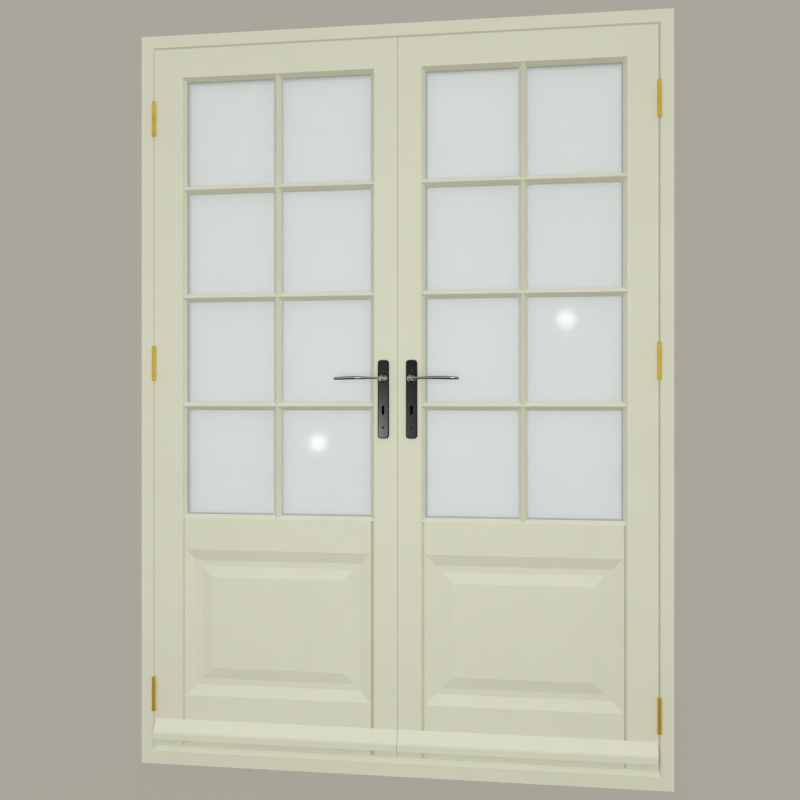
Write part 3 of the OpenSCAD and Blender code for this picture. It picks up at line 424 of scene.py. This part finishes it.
def lever(name, side, face, out, body, node):
    """A lever on the left or right leaf; out is -1 on the outside of the leaf and 1 on the inside."""
    toward = -1 if side == "left" else 1

    def place(along, up, away):
        return Vector((toward * handle_x + toward * along, face + out * away, lever_z + up))

    mesh = bmesh.new()
    skin(mesh, [[place(r * c, r * s, away) for c, s in circle(neck_around)] for r, away in neck_profile()])
    skin(mesh, [[place(along, up + half_h * c, away + half_d * s) for c, s in circle(arm_around)]
                for along, up, away, half_h, half_d in arm_sections()])
    bmesh.ops.recalc_face_normals(mesh, faces=mesh.faces)
    for f in mesh.faces:
        f.smooth = True
    data = bpy.data.meshes.new(name)
    mesh.to_mesh(data)
    mesh.free()
    data.materials.append(chrome)
    piece = bpy.data.objects.new(name, data)
    bpy.context.scene.collection.objects.link(piece)
    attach(piece, body)
    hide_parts(node)


for s in sides:
    lever(f"{s}_outer_lever_casting", s, outer_face, -1, f"{s}_handle", f"{s}_outer_lever")
    lever(f"{s}_inner_lever_casting", s, inner_face, 1, f"{s}_handle", f"{s}_inner_lever")

# SPINDLES, LOCK AND BOLTS
# The works are hidden in the edges of the leaves: spindles, keep and shoot bolts of zinc-plated steel,
# and pressed cases of dark steel, coloured near black as painted shade so that the keyholes read dark. The
# latch, the dead bolt and the keeps of the shoot bolts are brass.

zinc_grey = (0.46, 0.47, 0.48)
case_shade_black = (0.045, 0.045, 0.047)
drawn_lines = (300, 300, 40)
finish_nodes(rolled_metal("zinc_plated_steel", zinc_grey, drawn_lines, smooth=0.32, rough=0.48),
             ["left_spindle", "right_spindle", "left_lock_keep", "top_shoot_bolt", "bottom_shoot_bolt"])
# The cases seen through the keyholes are coloured near black, as painted shade in the hole
finish_nodes(rolled_metal("dark_steel_keyhole_shade", case_shade_black, drawn_lines, smooth=0.4, rough=0.55),
             ["left_gear_case", "right_lock_case"])
finish_nodes(brass, ["bolt_keeps", "latch_bolt", "dead_bolt"])

# STUDIO FLOOR AND BACKDROP
# A plain warm-grey paper floor runs out to a backdrop of the same tone, under an even white dome.
# The floor keeps the shadow of the doors, which fades out round them so that no edge shows.

backdrop = (0.397, 0.381, 0.328)
floor_tone = (0.40, 0.385, 0.33)
floor_bounce = (0.28, 0.27, 0.232)
floor_reach = 30.0
floor_z = -0.0005
fade_from = 1.0
fade_to = 2.6
shadow_share = 0.18
dome_level = 0.60


def seen_directly(nodes, links):
    """1 for rays from the camera, and for those by way of metal or glass."""
    path = nodes.new("ShaderNodeLightPath").outputs
    seen = reckon(nodes, links, "MAXIMUM", path["Is Camera Ray"], path["Is Glossy Ray"])
    return reckon(nodes, links, "MAXIMUM", seen, path["Is Transmission Ray"])


world = bpy.data.worlds.new("studio_dome")
bpy.context.scene.world = world
world.use_nodes = True
nodes, links = world.node_tree.nodes, world.node_tree.links
dome = nodes["Background"]
dome.inputs["Color"].default_value = (1, 1, 1, 1)
dome.inputs["Strength"].default_value = dome_level
behind = nodes.new("ShaderNodeBackground")
behind.inputs["Color"].default_value = (*backdrop, 1)
behind.inputs["Strength"].default_value = 1.0
either = nodes.new("ShaderNodeMixShader")
links.new(seen_directly(nodes, links), either.inputs["Fac"])
links.new(dome.outputs["Background"], either.inputs[1])
links.new(behind.outputs["Background"], either.inputs[2])
links.new(either.outputs["Shader"], nodes["World Output"].inputs["Surface"])

paper, nodes, links, shader = new_finish("studio_paper")
# The paper gives back less light than it shows, so that undersides stay darker than faces
path = nodes.new("ShaderNodeLightPath")
paper_tone = nodes.new("ShaderNodeMix")
paper_tone.data_type = "RGBA"
paper_tone.inputs["A"].default_value = (*floor_bounce, 1)
paper_tone.inputs["B"].default_value = (*floor_tone, 1)
links.new(path.outputs["Is Camera Ray"], paper_tone.inputs["Factor"])
links.new(paper_tone.outputs["Result"], shader.inputs["Base Color"])
shader.inputs["Roughness"].default_value = 0.9
shader.inputs["Specular IOR Level"].default_value = 0.0
# Away from the doors the paper goes over to the backdrop's own tone
place = nodes.new("ShaderNodeNewGeometry")
away = nodes.new("ShaderNodeVectorMath")
away.operation = "LENGTH"
links.new(place.outputs["Position"], away.inputs[0])
fade = nodes.new("ShaderNodeMapRange")
fade.inputs["From Min"].default_value = fade_from
fade.inputs["From Max"].default_value = fade_to
fade.inputs["To Min"].default_value = 1.0 - shadow_share
fade.inputs["To Max"].default_value = 1.0
links.new(away.outputs["Value"], fade.inputs["Value"])
glow = nodes.new("ShaderNodeEmission")
glow.inputs["Color"].default_value = (*backdrop, 1)
either = nodes.new("ShaderNodeMixShader")
glow_share = reckon(nodes, links, "MULTIPLY", seen_directly(nodes, links), fade.outputs["Result"])
links.new(glow_share, either.inputs["Fac"])
links.new(shader.outputs["BSDF"], either.inputs[1])
links.new(glow.outputs["Emission"], either.inputs[2])
links.new(either.outputs["Shader"], nodes["Material Output"].inputs["Surface"])

floor_mesh = bpy.data.meshes.new("studio_floor")
floor_corners = [(x * floor_reach, y * floor_reach, floor_z) for x, y in ((-1, -1), (1, -1), (1, 1), (-1, 1))]
floor_mesh.from_pydata(floor_corners, [], [(0, 1, 2, 3)])
floor_mesh.materials.append(paper)
floor = bpy.data.objects.new("studio_floor", floor_mesh)
bpy.context.scene.collection.objects.link(floor)

# LAMPS
# Broad soft lamps stand high on the right, low in front and behind, out of sight of glass and metal.
# Two small bare ones glint in the glass, and one low on the left shines on the outside backplates alone,
# where it greys the foot of the left one.

centre = Vector((0, 0, 1.045))
small_lamp_r = 0.05


def lamp(name, kind, place, power):
    data = bpy.data.lights.new(name, kind)
    data.energy = power
    piece = bpy.data.objects.new(name, data)
    piece.location = place
    piece.rotation_euler = (centre - Vector(place)).to_track_quat("-Z", "Y").to_euler()
    piece.visible_transmission = False
    bpy.context.scene.collection.objects.link(piece)
    return piece


def broad_lamp(name, place, power, size, shadow):
    broad = lamp(name, "AREA", place, power)
    broad.data.shape = "DISK"
    broad.data.size = size
    broad.data.use_shadow = shadow
    broad.visible_glossy = False
    broad.visible_camera = False


def small_lamp(name, place, power):
    small = lamp(name, "POINT", place, power)
    small.data.shadow_soft_size = small_lamp_r
    small.visible_diffuse = False
    return small


broad_lamp("high_lamp", (5.37, -15.95, 19.5), power=1970, size=14.0, shadow=False)
broad_lamp("front_lamp", (-0.05, -3.2, 0.95), power=44, size=1.7, shadow=True)
broad_lamp("back_lamp", (-1.5, 7.0, 3.5), power=150, size=4.0, shadow=True)
small_lamp("left_glint", (-0.897, -2.951, 0.791), power=1.5)
small_lamp("right_glint", (0.552, -3.017, 1.513), power=1.5)
plate_gloss = small_lamp("plate_gloss", (-0.72, -2.95, 0.80), power=96)
lit_plates = bpy.data.collections.new("glossy_plates")
for s in sides:
    lit_plates.objects.link(parts[f"{s}_outer_backplate"])
plate_gloss.light_linking.receiver_collection = lit_plates

# CARDS
# Flat cards of plain board stand round the doors in the studio, and only polished surfaces see them.
# A black one leans low in front, a grey one hangs overhead, and a small dark one stands at eye level.


def studio_card(name, left, right, near, far, grey):
    """A card from left to right in X, between two edges that are each given by their Y and Z."""
    finish, nodes, links = new_finish(name)[:3]
    flat = nodes.new("ShaderNodeEmission")
    flat.inputs["Color"].default_value = (grey, grey, grey, 1)
    links.new(flat.outputs["Emission"], nodes["Material Output"].inputs["Surface"])
    card_mesh = bpy.data.meshes.new(name)
    card_mesh.from_pydata([(left, *near), (right, *near), (right, *far), (left, *far)], [], [(0, 1, 2, 3)])
    card_mesh.materials.append(finish)
    card = bpy.data.objects.new(name, card_mesh)
    bpy.context.scene.collection.objects.link(card)
    card.visible_camera = False
    card.visible_diffuse = False
    card.visible_transmission = False
    card.visible_shadow = False


studio_card("low_card", left=-2.5, right=2.5, near=(-2.4, 0.75), far=(-0.12, 0.01), grey=0.002)
studio_card("high_card", left=-2.5, right=2.5, near=(-2.2, 3.2), far=(1.0, 3.2), grey=0.07)
studio_card("eye_card", left=-0.56, right=-0.20, near=(-2.7, 0.98), far=(-2.7, 1.34), grey=0.02)

# CAMERA
# The camera stands a little to the right of the middle, level with the middle of the frame.
# It is aimed straight at the frame's centre, close enough for a clear perspective.

camera_turn = math.radians(8.0)
camera_distance = 2.726
camera_data = bpy.data.cameras.new("camera")
camera_data.lens = 43.47
camera_data.sensor_width = 36.0
camera = bpy.data.objects.new("camera", camera_data)
camera.location = centre + camera_distance * Vector((math.sin(camera_turn), -math.cos(camera_turn), 0))
camera.rotation_euler = (centre - camera.location).to_track_quat("-Z", "Y").to_euler()
bpy.context.scene.collection.objects.link(camera)
bpy.context.scene.camera = camera
bpy.context.scene.view_settings.view_transform = "Standard"
